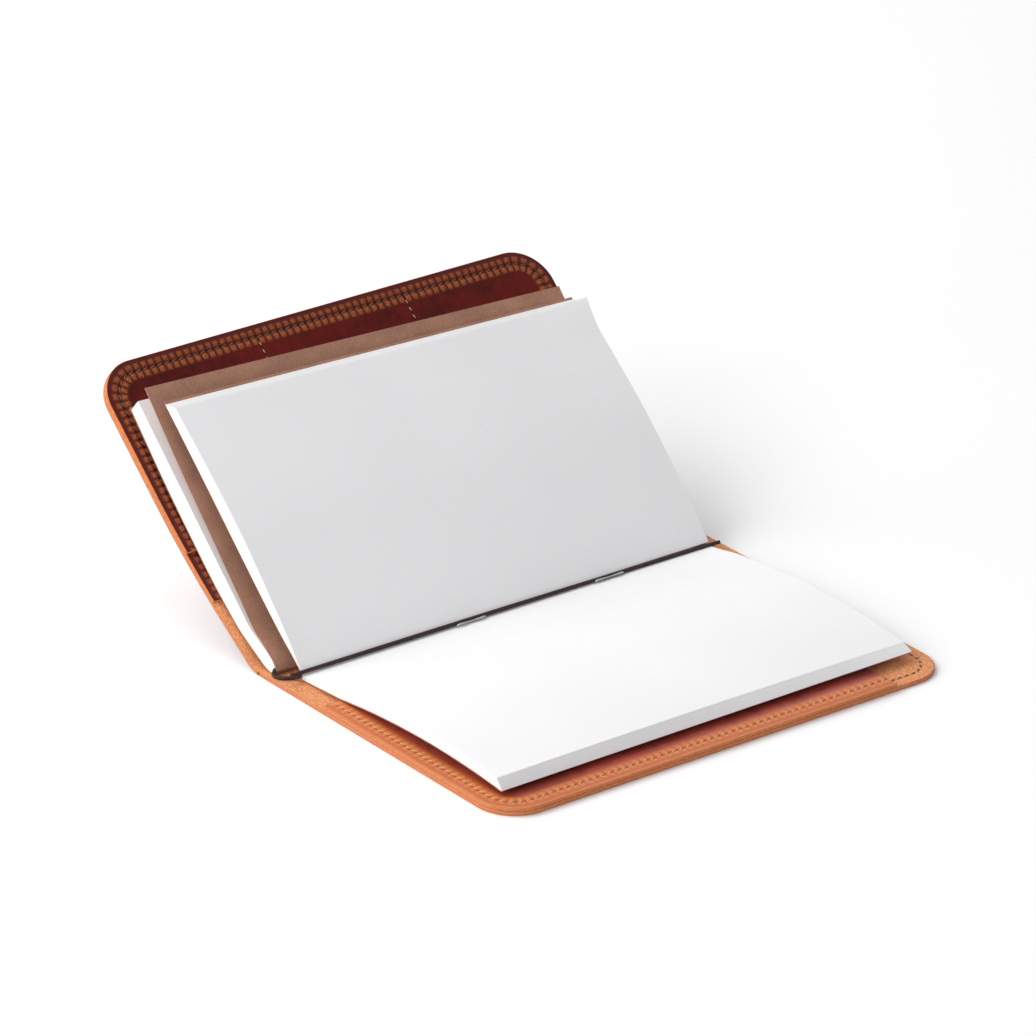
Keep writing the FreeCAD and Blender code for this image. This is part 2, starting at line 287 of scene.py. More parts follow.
def sheet(name, outline, bottom, top, grid, rim=0.45, relief=None):
    """A leather sheet with a rounded rim, from height bottom to height top."""
    uu, yy = np.meshgrid(steps(0, outline.length - rim, grid),
                         steps(outline.low + rim, outline.high - rim, grid), indexing="ij")
    n, m = uu.shape
    count = n * m
    x, y = outline.place(uu.ravel(), yy.ravel(), rim)
    index = np.arange(count).reshape(n, m)
    ring = np.concatenate([index[:, 0], index[-1, 1:], index[-2::-1, -1], index[0, -2:0:-1]])
    rx, ry = x[ring], y[ring]
    normal = outward(rx, ry, outline.side)

    # The face inside the cover, loops of points round the rim, and the face outside it.
    xs, ys, zs = [x], [y], [np.full(count, top)]
    upper = [(a, top - rim + rim * math.sin(math.radians(a))) for a in (60, 30)]
    lower = [(a, bottom + rim + rim * math.sin(math.radians(a))) for a in (-30, -60)]
    loops = upper + [(0, top - rim), (0, bottom + rim)] + lower
    for degrees, z in loops:
        out = rim * math.cos(math.radians(degrees))
        xs.append(rx + normal[:, 0] * out)
        ys.append(ry + normal[:, 1] * out)
        zs.append(np.full(len(ring), z))
    xs.append(x)
    ys.append(y)
    zs.append(np.full(count, bottom))
    px, py, flat_z = np.concatenate(xs), np.concatenate(ys), np.concatenate(zs)

    last = count + len(loops) * len(ring)
    middle = [count + k * len(ring) + np.arange(len(ring)) for k in range(len(loops))]
    rings = [ring] + middle + [last + ring]
    faces = [grid_faces(n, m)[:, ::-1]]
    for a, b in zip(rings, rings[1:]):
        faces.append(np.stack([a, b, np.roll(b, -1), np.roll(a, -1)], 1))
    faces.append(grid_faces(n, m, start=last))
    faces = np.concatenate(faces)

    side = np.zeros(len(px))
    side[:count], side[last:] = 1, -1
    distance, along, seam = outline.edge(px, py)
    pz = flat_z
    if relief is not None:
        lift, share = relief(distance, along, seam), np.zeros(len(px))
        share[:count] = 1
        for loop, part in zip(middle, (1, 1, 0.8)):
            lift[loop], share[loop] = lift[ring], part
        pz = flat_z + lift * share
    make(name, folded(np.stack([px, py, pz], 1)), faces[:, ::-1] if outline.side < 0 else faces,
         {"pat": np.stack([px, py, flat_z], 1), "edge": distance, "along": along, "side": side, "seam": seam})


def pillowed(puff, depth, rows):
    """Leather drawn down along the stitch line, and puffed up in a row of small pillows on each side."""
    groove_width, outer_width, inner_width = 0.7, 1.15, 1.35
    edge_drop, edge_reach = 0.16, 1.3

    def relief(distance, along, seam):
        beat = np.abs(np.sin(math.pi * along / PITCH))
        groove = np.exp(-((distance - SEAM) / groove_width) ** 2) * (1 - 0.4 * beat)
        outer = np.exp(-((distance - SEAM + rows[0]) / outer_width) ** 2)
        inner = np.exp(-((distance - SEAM - rows[1]) / inner_width) ** 2)
        drop = edge_drop * np.exp(-(distance / edge_reach) ** 2)
        return seam * (puff * (outer + inner) * beat ** 0.8 - depth * groove) - drop
    return relief


back_outline = Outline(SPINE_MIDDLE, BACK_TIP, BACK_POCKET_INNER)
front_outline = Outline(SPINE_MIDDLE, FRONT_TIP, LOWER_MOUTH)
lower_tier = Outline(LOWER_MOUTH, FRONT_TIP, LOWER_MOUTH)
upper_tier = Outline(UPPER_MOUTH, FRONT_TIP, LOWER_MOUTH)
back_pocket = Outline(BACK_POCKET_INNER, BACK_TIP, BACK_POCKET_INNER, high=BACK_POCKET_FAR, far=0)
lower_top = LEATHER + CARD_LEATHER
upper_top = lower_top + CARD_LEATHER
sheet("leather_back", back_outline, 0.0, LEATHER, 1.2)
sheet("leather_front", front_outline, 0.0, LEATHER, 1.2)
sheet("card_pocket_lower", lower_tier, LEATHER, lower_top, 0.8, 0.35)
sheet("card_pocket_upper", upper_tier, lower_top, upper_top, 0.7, 0.35, pillowed(0.32, 0.3, SEAM_ROWS))
sheet("sheet_pocket", back_pocket, LEATHER, LEATHER + BACK_LEATHER, 0.7, 0.4,
      pillowed(0.2, 0.25, BACK_SEAM_ROWS))


# ------------------------------------------------------------------ paper
def slab(lines, ys, half, start, skew=0.0):
    """Vertices and faces of one thin leaf: a section line at each place along the booklet."""
    block = []
    for line, y, h in zip(lines, ys, half):
        tangent = unit(np.gradient(line, axis=0))
        normal = np.stack([tangent[:, 1], -tangent[:, 0]], 1) * np.asarray(h).reshape(-1, 1)
        loop = np.concatenate([line + normal, (line - normal)[::-1]])
        slide = np.broadcast_to(skew, len(line))
        block.append(np.column_stack([loop[:, 0], y + np.concatenate([slide, slide[::-1]]), loop[:, 1]]))
    m = len(lines[0])
    faces = [grid_faces(len(ys), 2 * m, close=True, start=start)]
    for base, flip in ((0, True), ((len(ys) - 1) * 2 * m, False)):
        a = start + base + np.arange(m - 1)
        b = start + base + 2 * m - 1 - np.arange(m - 1)
        cap = np.stack([a, b, b - 1, a + 1], 1)
        faces.append(cap[:, ::-1] if flip else cap)
    return np.concatenate(block), faces


WEDGE_SHARE = 0.43                      # half the share of its room that a leaf fills
LEAST_HALF = 0.03                       # half the thickness that it keeps where there's no room
TRIM = 0.0007                           # leaves differ this much in width, as a share,
LONG, OFF = 0.16, 0.12                  # and in length, and they lie this far off


def leaf_stack(name, count, path, samples=46, stations=13, shift=0.0, skew=0.0):
    """Separate leaves. path(t, s, v) gives a section line, with t from the outermost
    leaf to the centre, s from the fold to the fore-edge and v from the near end to the far."""
    verts, faces, shade, start = [], [], [], 0
    s = np.linspace(0, 1, samples) ** 1.15
    v = np.linspace(0, 1, stations)
    for k in range(count):
        trim = 1 - TRIM * rng.random()
        low = [path(k / count, s * trim, w) for w in v]
        high = [path((k + 1) / count, s * trim, w) for w in v]
        lines = [(a + b) / 2 for a, b in zip(low, high)]
        room = [np.linalg.norm(b - a, axis=1) for a, b in zip(low, high)]
        half = [np.maximum(gap * WEDGE_SHARE, LEAST_HALF) for gap in room]
        ys = (v - 0.5) * (PAGE + LONG * (rng.random() - 0.5)) + shift + OFF * (rng.random() - 0.5)
        block, more = slab(lines, ys, half, start, skew * (1 - s))
        verts.append(block)
        faces += more
        shade.append(np.full(len(block), rng.random()))
        start += len(block)
    make(name, row(np.concatenate(verts)), np.concatenate(faces), {"leaf": np.concatenate(shade)}, 35)


def card(name, path, samples=70, stations=15, shift=0.0, skew=0.0):
    """A kraft cover card: path(s, v) gives its section line."""
    s, v = np.linspace(0, 1, samples), np.linspace(0, 1, stations)
    lines = [path(s, w) for w in v]
    block, faces = slab(lines, (v - 0.5) * PAGE + shift, [KRAFT / 2] * stations, 0, skew * (1 - s))
    make(name, row(block), np.concatenate(faces), crisp=35)


# Booklet 2, right half: flat from its foot to its seat, then one long low arch.
RIGHT_FOOT, RIGHT_SEAT = (1.5, 2.55), (26, 4.05)
RIGHT_ARCH = (RIGHT_SEAT, (90, 8.1), (129, 5.9))
ARCH_END = 131
RIGHT_STACK = 4.0                       # all leaves, pressed
RIGHT_NEAR, RIGHT_FAR = 1.3, -1.7       # the innermost leaf past its width, at the near and far end
GUTTER_SHARE = 0.44                     # of the stack's height, left beside the gutter
VALLEY = 24                             # the leaves rise out of the gutter over this length
FAR_PRESS = 0.6                         # share of its height lost at the far fore-edge


def right_floor(x):
    """Top of the right cover card."""
    climb = np.clip((x - RIGHT_FOOT[0]) / (RIGHT_SEAT[0] - RIGHT_FOOT[0]), 0, 1)
    foot = RIGHT_FOOT[1] + 1.5 * climb
    arch = circle_height(np.clip(x, RIGHT_SEAT[0], ARCH_END), *RIGHT_ARCH)
    return np.where(x < RIGHT_SEAT[0], foot, arch)


def right_path(t, s, v):
    past = (RIGHT_NEAR + (RIGHT_FAR - RIGHT_NEAR) * v) * (0.35 + 0.65 * t)
    tip = RIGHT_WIDTH + CREEP * (1 - t) + past
    start = 0.15 + 1.2 * (1 - t)
    x = start + (tip - start) * s
    pressed = 1 - FAR_PRESS * v * v * np.clip(x / tip, 0, 1) ** 2
    valley = np.clip(x / VALLEY, 0, 1)
    full = valley * valley * (3 - 2 * valley) * (1 - GUTTER_SHARE) + GUTTER_SHARE
    return np.stack([x, right_floor(x) + 0.1 + RIGHT_STACK * t * full * pressed], 1)


def right_card(s, v):
    start = RIGHT_FOOT[0]
    x = start + (RIGHT_WIDTH + CREEP - 0.2 - 0.8 * v - start) * s
    return np.stack([x, right_floor(x) - KRAFT / 2], 1)


# Booklet 2, left half: (distance from the gutter, height) of its outermost and innermost leaf.
LEFT_LOW = [(0, 0.5), (8, 0.2), (21, -0.5), (44, -0.5), (67, -0.2), (90, 0.1), (113, 0.2), (128, 0.2)]
LEFT_HIGH = [(0, 0.9), (8, 2.5), (19, 3.9), (41, 5.9), (62, 7.2), (86, 7.1), (110, 6.2), (128, 5.4)]
LEFT_START = 0.6
LEFT_TWIST = 2.4                        # degrees less steep at the far end
LEFT_TAPER = 0.029                      # share of its width lost at the far end
CURL = 4.2                              # the top leaves' far corner
CURL_FROM = 0.86                        # share of the stack, and of the width, where it begins


def left_place(u, n, v):
    """The left half's flat frame to the gutter's."""
    x, z = turn(-u, GUTTER_Z + n, 0, GUTTER_Z, LEFT_ANGLE - LEFT_TWIST * v)
    return np.stack([x, z], 1)


def left_path(t, s, v):
    tip = (LEFT_WIDTH + CREEP * (1 - t)) * (1 - LEFT_TAPER * v)
    u = LEFT_START + (tip - LEFT_START) * s
    low = at(LEFT_LOW, u) + 0.45
    n = low + (at(LEFT_HIGH, u) - low) * t
    curl = np.clip((t - CURL_FROM) / (1 - CURL_FROM), 0, 1) * np.clip((v - 0.9) / 0.1, 0, 1) ** 2
    n = n + CURL * curl * np.clip((u / tip - CURL_FROM) / (1 - CURL_FROM), 0, 1) ** 1.5
    return left_place(u, n, v)


def left_card(s, v):
    u = LEFT_START + ((LEFT_WIDTH + CREEP + OVERHANG) * (1 - LEFT_TAPER * v) - LEFT_START) * s
    return left_place(u, at(LEFT_LOW, u) + KRAFT / 2, v)


# Booklet 1 stands on the spine leather past its bend. Its spine bends flatter on to the leather,
# its leaves fan out above it, and it lies a little askew.
SPINE_SLOPE = math.radians(SPINE_BEND[1])
SEAT_BACK, SEAT_CLEAR = 1.4, 0.15       # its foot: past the bend, and over the leather
FOOT_1 = (SPINE_BEND[0] - math.cos(SPINE_SLOPE) * SEAT_BACK + math.sin(SPINE_SLOPE) * SEAT_CLEAR,
          LEATHER + math.sin(SPINE_SLOPE) * SEAT_BACK + math.cos(SPINE_SLOPE) * SEAT_CLEAR)
ASKEW = -3.2                            # how far its spine lies nearer than its fore-edge
SPINE_RISE = 0.045                      # share of the section that the far end's spine leaves out
TAPER, LEAF_TAPER = 0.04, 0.055         # share of the width lost at the far end
PAGES_DROP, LEAF_DROP = 1.3, 2.2        # how much lower the far fore-edge lies


def place_1(u, n):
    """Booklet 1's flat frame (distance from its foot, height) to the gutter's."""
    x, z = turn(-np.asarray(u, float), np.asarray(n, float), 0, 0, ANGLE_1)
    return np.stack([x + FOOT_1[0], z + FOOT_1[1]], 1)


def flat_1(points):
    """The other way round."""
    a = math.radians(ANGLE_1)
    dx, dz = points[:, 0] - FOOT_1[0], points[:, 1] - FOOT_1[1]
    return -dx * math.cos(a) + dz * math.sin(a), dx * math.sin(a) + dz * math.cos(a)


def section(near_spine, beyond):
    """A section line: first points of the gutter's frame, then of booklet 1's."""
    return np.vstack([near_spine, place_1(*np.transpose(beyond))])


CARD_WIDTH = CLOSED_WIDTH + OVERHANG
CLOSED_LOW = section(
    [(-9.3, 3.2), (-11.5, 2.75), (-15, 3.3), (-19.3, 5.3), (-26, 8.6)],
    [(17, -1.1), (28, -2.0), (40, -2.6), (64, -2.4), (87, -1.7), (110, -0.3), (CLOSED_WIDTH, 0.3)])
CLOSED_HIGH = section(
    [(-8.9, 3.6), (-9.0, 5.4), (-11.3, 8.0), (-16, 10.8), (-21, 13.2)],
    [(13, 6.1), (22, 6.15), (41, 6.3), (64, 6.6), (87, 6.85), (110, 7.15), (CLOSED_WIDTH, 7.3)])
CLOSED_CARD = section(
    [(-8.3, 3.9), (-8.7, 2.95), (-9.9, 2.55), (-11.7, 2.45), (-15.1, 3.0), (-19.4, 4.95), (-26.1, 8.2)],
    [(17, -1.5), (28, -2.4), (40, -3.0), (64, -2.8), (87, -2.1), (110, -0.7), (CARD_WIDTH, -0.1)])
CLOSED_LEAF = section(
    [(-8.1, 4.3), (-8.6, 5.9), (-11.1, 8.55), (-16, 11.75), (-21, 14.55)],
    [(11, 8.15), (22, 8.95), (34, 9.7), (57, 11.1), (79, 12.3), (102, 14.3), (CARD_WIDTH, 16.1)])


def closed_place(points, s, v, taper, drop=0.0):
    """A section of booklet 1: narrower towards its far end, whose spine stops higher up."""
    u, n = flat_1(even(points, s + (1 - s) * SPINE_RISE * v))
    out = np.clip(u / CLOSED_WIDTH, 0, 1)
    return place_1(u * (1 - taper * v * out), n - drop * v * out)


def closed_path(t, s, v):
    low, high = closed_place(CLOSED_LOW, s, v, TAPER), closed_place(CLOSED_HIGH, s, v, TAPER, PAGES_DROP)
    return low + (high - low) * t


def closed_card(s, v):
    """Cover card under booklet 1, turned up round its spine."""
    return closed_place(CLOSED_CARD, s, v, TAPER)


def closed_leaf(s, v):
    """Front cover card, sprung open."""
    return closed_place(CLOSED_LEAF, s, v, LEAF_TAPER, LEAF_DROP)


leaf_stack("pages_right", 22, right_path)
leaf_stack("pages_left", 22, left_path)
leaf_stack("pages_closed", 34, closed_path, 64, 9, SHIFT_1, ASKEW)
card("card_right", right_card)
card("card_left", left_card)
card("card_closed_back", closed_card, 120, 15, SHIFT_1, ASKEW)
card("card_closed_front", closed_leaf, 80, 15, SHIFT_1, ASKEW)


# ------------------------------------------------------------------ thread, cord, wire
def tube(name, lines, radius, sides, flat=1.0, taper=False):
    """Tubes along lists of points in metres, joined in one mesh."""
    verts, faces, start, along = [], [], 0, []
    angle = np.linspace(0, 2 * math.pi, sides, endpoint=False)
    for line in lines:
        p = np.asarray(line, float)
        t = unit(np.gradient(p, axis=0))
        side = np.cross(t, [0, 0, 1.0])
        side[np.linalg.norm(side, axis=1) < 1e-3] = [1, 0, 0]
        for k in range(1, len(side)):
            if side[k] @ side[k - 1] < 0:
                side[k] = -side[k]
        side = unit(side)
        up = np.cross(side, t)
        size = np.full(len(p), radius)
        if taper:
            size = radius * np.clip(0.55 + 0.45 * np.sin(np.linspace(0, math.pi, len(p))), 0.4, 1)
        ring = (p[:, None] + (side[:, None] * np.cos(angle)[:, None]
                              + up[:, None] * np.sin(angle)[:, None] * flat) * size[:, None, None])
        verts += [ring.reshape(-1, 3), p[:1], p[-1:]]
        n = len(p) * sides
        faces += grid_faces(len(p), sides, close=True, start=start).tolist()
        for j in range(sides):
            faces.append([start + n, start + (j + 1) % sides, start + j])
            faces.append([start + n + 1, start + n - sides + j, start + n - sides + (j + 1) % sides])
        way = way_along(p)
        along += [np.repeat(way, sides), [0, way[-1]]]
        start += n + 2
    make(name, np.concatenate(verts), faces, {"along": np.concatenate(along)})


def seam_line(outline, step=0.25):
    """Points along the stitch line of an outline, from its near inner end round to its far one."""
    length = outline.seam_length()
    high, r = HEIGHT / 2 - SEAM, CORNER - SEAM
    corner = np.linspace(0, math.pi / 2, 40)
    run = np.arange(0, length - CORNER, step)
    rise = np.linspace(r - high, high - r, int(2 * (high - r) / step))
    u = np.concatenate([run, length - CORNER + r * np.sin(corner), np.full(len(rise), length - SEAM),
                        length - CORNER + r * np.cos(corner), run[::-1]])
    y = np.concatenate([np.full(len(run), -high), r - high - r * np.cos(corner), rise,
                        high - r + r * np.sin(corner), np.full(len(run), high)])
    return np.column_stack([outline.seam_from + outline.side * u, y])


def stitches(name, line, height, radius=0.36, arch=0.4, length=0.8, slant=0.16, below=False):
    """Single stitches along a line of the flat leather, each dipping into its two holes."""
    way = way_along(line)
    across = np.linspace(-0.5, 0.5, 7)
    bow = arch * (np.cos(2.5 * across) - 0.62)
    lines = []
    for k in range(int(way[-1] / PITCH)):
        t = (k + 0.5 + length * across) * PITCH
        x, y = np.interp(t, way, line[:, 0]), np.interp(t, way, line[:, 1])
        d = np.array([x[-1] - x[0], y[-1] - y[0]])
        d /= np.linalg.norm(d)
        off = slant * PITCH * across
        h = height(x, y) if callable(height) else height
        lines.append(folded(np.column_stack([x - d[1] * off, y + d[0] * off, h + (-bow if below else bow)])))
    tube(name, lines, radius / 1000, 7, 0.8, taper=True)


def front_height(x, y):
    """Leather surface under the front seam's stitches: two tiers, then one, then none."""
    return np.where(x < UPPER_MOUTH, upper_top, np.where(x < LOWER_MOUTH, lower_top, LEATHER)) - THREAD_SINK


def back_height(x, y):
    covered = (x > BACK_POCKET_INNER) & (y < BACK_POCKET_FAR)
    return np.where(covered, LEATHER + BACK_LEATHER, LEATHER) - THREAD_SINK


front_line = seam_line(front_outline)
back_line = seam_line(back_outline)
stitches("stitches_front", front_line, front_height, 0.27, 0.3, 0.7)
stitches("stitches_back", back_line, back_height, 0.42, 0.5, 0.78, 0.34)
stitches("stitches_front_outside", front_line, 0.12, below=True)
stitches("stitches_back_outside", back_line, 0.34, arch=0.15, below=True)
for k, y in enumerate(DIVIDERS):
    line = np.column_stack([np.linspace(DIVIDER_START, FRONT_TIP + SEAM, 300), np.full(300, y)])
    stitches(f"stitches_divider_{k}", line, front_height, 0.3, 0.45, 0.62)

# The elastic, from each end of the gutter round booklet 2's spine and along booklet 1's middle.
gutter_strand = [
    (-3.7, -110.3, 2.85), (-2.4, -107.9, 2.9), (-0.9, -106.6, 3.3), (1.0, -106.3, 4.4), (0.9, -105.4, 5.6),
    (0.8, -102, 5.85), (1.0, 0, 5.75), (1.5, 101, 5.15), (1.5, 104.7, 4.8), (1.3, 105.8, 3.9),
    (-0.5, 105.9, 3.2), (-2.2, 105.8, 2.9), (-3.6, 105.1, 2.85)]
near_run = [(-3.4, -110.0, 2.85), (-5.2, -111.6, 2.85), (-6.6, -112.3, 2.88), (-7.8, -112.5, 2.95)]
far_run = [(-3.2, 105.4, 2.85), (-7.0, 102.8, 2.85), (-12.0, 100.8, 2.9)]
closed_strand = [
    (-7.6, -112.5, 2.95), (-8.3, -112.4, 3.4), (-8.6, -112.0, 4.2), (-9.0, -111.0, 4.8),
    (-9.8, -108.5, 5.1), (-11.6, -100, 5.8), (-14.5, 0, 7.5), (-16.5, 94, 7.0), (-16.2, 98.8, 6.4),
    (-15.0, 100.4, 5.2),
    (-13.4, 100.9, 3.6), (-11.8, 100.8, 2.95)]
for name, lines, count in (("elastic_gutter", [gutter_strand], 500),
                           ("elastic_spine", [near_run, far_run], 40),
                           ("elastic_closed", [closed_strand], 500)):
    tube(name, [row(smooth_line(line, count)) for line in lines], CORD_RADIUS / 1000, 12)

STAPLE_HALF = 7.0
STAPLE_X, STAPLE_LIFT = 2.6, 0.33       # beside the gutter, and over the page
PAGE_SLOPE = (8.55 - 4.6) / 12.9        # of the page that rises out of the gutter
CLOSED_SPINE = (-8.35, 3.6)


def staple(x, y, z):
    """Wire clinched on a fold: a straight back with both legs turned in."""
    h, down, up = STAPLE_HALF, z - 0.14, z + 0.35
    return row(smooth_line([(x + 0.1, y - 2.2, z + 0.25), (x, y - 6.2, up), (x, y - h, z),
                            (x - 0.2, y - 6.4, down), (x - 0.3, y, z - 0.05), (x - 0.2, y + 6.4, down),
                            (x, y + h, z), (x, y + 6.2, up), (x + 0.1, y + 2.2, z + 0.25)], 90))


def staple_back(y):
    """The back of a closed booklet's staple, straight along its spine."""
    x, z = CLOSED_SPINE
    return row([(x, y + t, z) for t in np.linspace(-STAPLE_HALF, STAPLE_HALF, 12)])


page_z = GUTTER_Z + PAGE_SLOPE * (STAPLE_X - 0.1) + STAPLE_LIFT
tube("staples_open", [staple(STAPLE_X, y, page_z) for y in STAPLES_Y], WIRE_RADIUS / 1000, 8)
tube("staples_closed", [staple_back(y + SHIFT_1) for y in STAPLES_Y], WIRE_RADIUS / 1000, 8)


# ------------------------------------------------------------------ materials
class Nodes:
    """Short hand for building a material's node tree."""

    def __init__(self, name):
        self.material = bpy.data.materials.new(name)
        self.material.use_nodes = True
        self.tree = self.material.node_tree
        self.shader = self.tree.nodes["Principled BSDF"]

    def put(self, socket, value):
        """Link a socket, or set its value, spread over a vector's or a colour's parts."""
        if isinstance(value, bpy.types.NodeSocket):
            self.tree.links.new(value, socket)
        elif value is not None:
            if hasattr(value, "__len__") and len(value) == 3 and len(socket.default_value) == 4:
                value = (*value, 1)
            socket.default_value = value

    def node(self, kind, inputs=None, **settings):
        made = self.tree.nodes.new("ShaderNode" + kind)
        for key, value in settings.items():
            setattr(made, key, value)
        for key, value in (inputs or {}).items():
            self.put(made.inputs[key], value)
        return made

    def attribute(self, name, output="Fac"):
        return self.node("Attribute", attribute_name=name).outputs[output]

    def place(self):
        return self.node("TexCoord").outputs["Object"]

    def math(self, operation, a, b=None):
        return self.node("Math", {0: a, 1: b}, operation=operation).outputs[0]

    def add(self, a, b):
        return self.math("ADD", a, b)

    def less(self, a, b):
        return self.math("SUBTRACT", a, b)

    def times(self, a, b):
        return self.math("MULTIPLY", a, b)

    def most(self, a, b):
        return self.math("MAXIMUM", a, b)

    def size(self, a):
        return self.math("ABSOLUTE", a)

    def wave(self, a):
        return self.math("SINE", a)

    def ramp(self, value, low, high, start=0.0, end=1.0):
        inputs = dict(enumerate((value, low, high, start, end)))
        return self.node("MapRange", inputs, interpolation_type="SMOOTHSTEP").outputs[0]

    def noise(self, where, scale, detail, rough=0.55):
        inputs = {"Vector": where, "Scale": scale, "Detail": detail, "Roughness": rough}
        return self.node("TexNoise", inputs).outputs["Fac"]

    def cells(self, where, scale):
        return self.node("TexVoronoi", {"Vector": where, "Scale": scale}).outputs["Distance"]

    def mix(self, amount, a, b):
        return self.node("Mix", {0: amount, 6: a, 7: b}, data_type="RGBA").outputs[2]

    def stretch(self, where, scale):
        return self.node("Mapping", {"Vector": where, "Scale": scale}).outputs[0]

    def bump(self, height, strength, distance, under=None):
        inputs = {"Height": height, "Strength": strength, "Distance": distance, "Normal": under}
        return self.node("Bump", inputs).outputs[0]

    def done(self, **inputs):
        for key, value in inputs.items():
            self.put(self.shader.inputs[key.replace("_", " ")], value)
        return self.material


def rgb(r, g, b, share=1.0):
    """8-bit display colour to linear, darker or lighter by a share."""
    display = [c * share for c in (r, g, b)]
    return tuple(((c / 255 + 0.055) / 1.055) ** 2.4 if c > 10 else c / 255 / 12.92 for c in display)


def less_each(tint, amount):
    return rgb(*[c - amount for c in tint])


def leather(name, panel, margin, rows, between, hole_shade, mottled=0.3, gloss=0.28, shine=0.5,
            seam_rows=SEAM_ROWS, suede=False, dividers=False):
    """Waxed pull-up leather. It is painted paler where the seam puffs it up, a row of pillows on each side
    of the stitch line: partly the leather's own paling, partly a painted highlight on the pillows' crowns.
    Painted shade darkens the crease under the thread and the stitches' holes. Its cut edge shows the raw
    core, and its inner face can be suede."""
    m = Nodes(name)
    pat = m.attribute("pat", "Vector")
    edge, along, side, seam = (m.attribute(key) for key in ("edge", "along", "side", "seam"))
    cloud, mottle = m.noise(pat, 0.03, 3), m.noise(pat, 0.25, 5, 0.62)
    fine, grain = m.noise(pat, 1.9, 5, 0.65), m.cells(pat, 1.4)
    waver = m.add(along, m.times(m.less(m.noise(pat, 0.8, 2), 0.5), 1.1))
    beat = m.size(m.wave(m.times(waver, math.pi / PITCH)))
    wander = m.add(edge, m.times(m.less(mottle, 0.5), 1.6))

    # The panel, the seam's band, its two rows of pillows painted paler (partly a painted highlight), the
    # margin.
    shade = m.add(m.times(cloud, 0.6), m.times(mottle, 0.4))
    colour = m.mix(m.ramp(shade, 0.38, 0.62), rgb(*panel, 1 - mottled), rgb(*panel))
    colour = m.mix(m.ramp(wander, 10.6, 8.6), colour, rgb(*between))
    for place, width, tint in ((SEAM - seam_rows[0], 1.5, rows[0]), (SEAM + seam_rows[1], 1.75, rows[1])):
        off = m.size(m.less(edge, place))
        pillow = m.times(m.ramp(off, width * 1.2, width * 0.3), m.ramp(beat, 0.1, 0.95))
        pillow = m.times(pillow, m.times(seam, m.ramp(fine, 0.38, 0.6, 0.12)))
        colour = m.mix(pillow, colour, rgb(*tint))
    colour = m.mix(m.ramp(wander, 1.9, 0.8), colour, rgb(*margin))

    # Painted shade: the crease under the thread, and the stitches' holes.
    off = m.size(m.less(edge, SEAM))
    crease_shade = m.times(m.ramp(off, 0.75, 0.2, 0, 0.6), seam)
    hole = m.times(m.times(m.ramp(off, 0.7, 0.35), m.ramp(beat, 0.42, 0.2)), seam)
    if dividers:
        parts = m.node("SeparateXYZ", {0: pat})
        step = m.size(m.wave(m.times(m.less(parts.outputs[0], DIVIDER_START), math.pi / PITCH)))
        for y in DIVIDERS:
            away = m.size(m.less(parts.outputs[1], y))
            dot = m.times(m.ramp(away, 0.75, 0.4), m.ramp(step, 0.5, 0.25))
            hole = m.most(hole, m.times(dot, m.ramp(edge, SEAM, SEAM + 1)))

    rough = m.add(m.ramp(mottle, 0.3, 0.8, gloss, gloss + 0.12), m.times(m.ramp(wander, 9.5, 8.0), 0.22))
    height, strength = m.add(m.times(grain, 0.5), m.times(fine, 0.9)), 0.16
    cut = m.ramp(m.size(side), 0.6, 0.25)
    if suede:
        face = m.ramp(side, 0.1, 0.5)
        nap, speck = m.noise(pat, 0.9, 6, 0.72), m.noise(pat, 1.5, 4, 0.7)
        flesh = m.mix(m.ramp(nap, 0.35, 0.65), rgb(198, 122, 74), rgb(240, 166, 114))
        flesh = m.mix(m.ramp(speck, 0.52, 0.68, 0, 0.7), flesh, rgb(158, 76, 44))
        flesh = m.mix(m.ramp(mottle, 0.5, 0.75, 0, 0.4), flesh, rgb(236, 170, 118))
        # Painted shade in the crease, on the suede too.
        flesh = m.mix(crease_shade, flesh, rgb(130, 66, 38))
        colour = m.mix(face, colour, flesh)
    # Painted shade: the crease is darkened, and the holes are filled with a dark tint.
    colour = m.mix(crease_shade, colour, rgb(*between, 0.6))
    colour = m.mix(hole, colour, rgb(*hole_shade))
    streaks = m.noise(m.stretch(pat, (1, 1, 5)), 0.8, 4, 0.7)
    colour = m.mix(cut, colour, m.mix(m.ramp(streaks, 0.35, 0.65), rgb(178, 98, 54), rgb(212, 132, 80)))
    rough = m.most(rough, m.times(cut, 0.65))
    if suede:
        rough = m.most(rough, m.times(face, 0.9))
        height = m.add(height, m.times(m.times(nap, m.ramp(side, -0.9, -0.3)), 4.0))
        strength = 0.3
    first = m.bump(height, strength, 0.0002)
    second = m.bump(m.less(m.times(mottle, 0.35), hole), 0.6, 0.0005, first)
    return m.done(Base_Color=colour, Roughness=rough, Normal=second, Specular_IOR_Level=shine)


def paper(name, tint):
    m = Nodes(name)
    where = m.place()
    fibre, cloud = m.noise(where, 900, 3, 0.6), m.noise(where, 14, 2)
    colour = m.mix(m.ramp(cloud, 0.3, 0.7), rgb(*tint), less_each(tint, 4))
    colour = m.mix(m.ramp(fibre, 0.35, 0.7, 0, 0.5), colour, less_each(tint, 7))
    colour = m.mix(m.times(m.attribute("leaf"), 0.5), colour, less_each(tint, 9))
    return m.done(Base_Color=colour, Roughness=0.92, Normal=m.bump(fibre, 0.12, 0.0001),
                  Specular_IOR_Level=0.2)


def kraft(name, tint):
    m = Nodes(name)
    where = m.place()
    cloud = m.noise(where, 60, 5, 0.65)
    fibre = m.noise(m.stretch(where, (1, 3, 1)), 700, 5, 0.7)
    fleck = m.cells(m.stretch(where, (1, 2.2, 1)), 900)
    colour = m.mix(m.ramp(cloud, 0.3, 0.72), rgb(*tint, 0.86), rgb(*tint))
    colour = m.mix(m.ramp(fibre, 0.35, 0.65, 0, 0.55), colour, rgb(*tint, 1.13))
    colour = m.mix(m.ramp(fleck, 0.16, 0.05, 0, 0.5), colour, rgb(*tint, 0.6))
    return m.done(Base_Color=colour, Roughness=0.88, Normal=m.bump(fibre, 0.25, 0.00015),
                  Specular_IOR_Level=0.25)


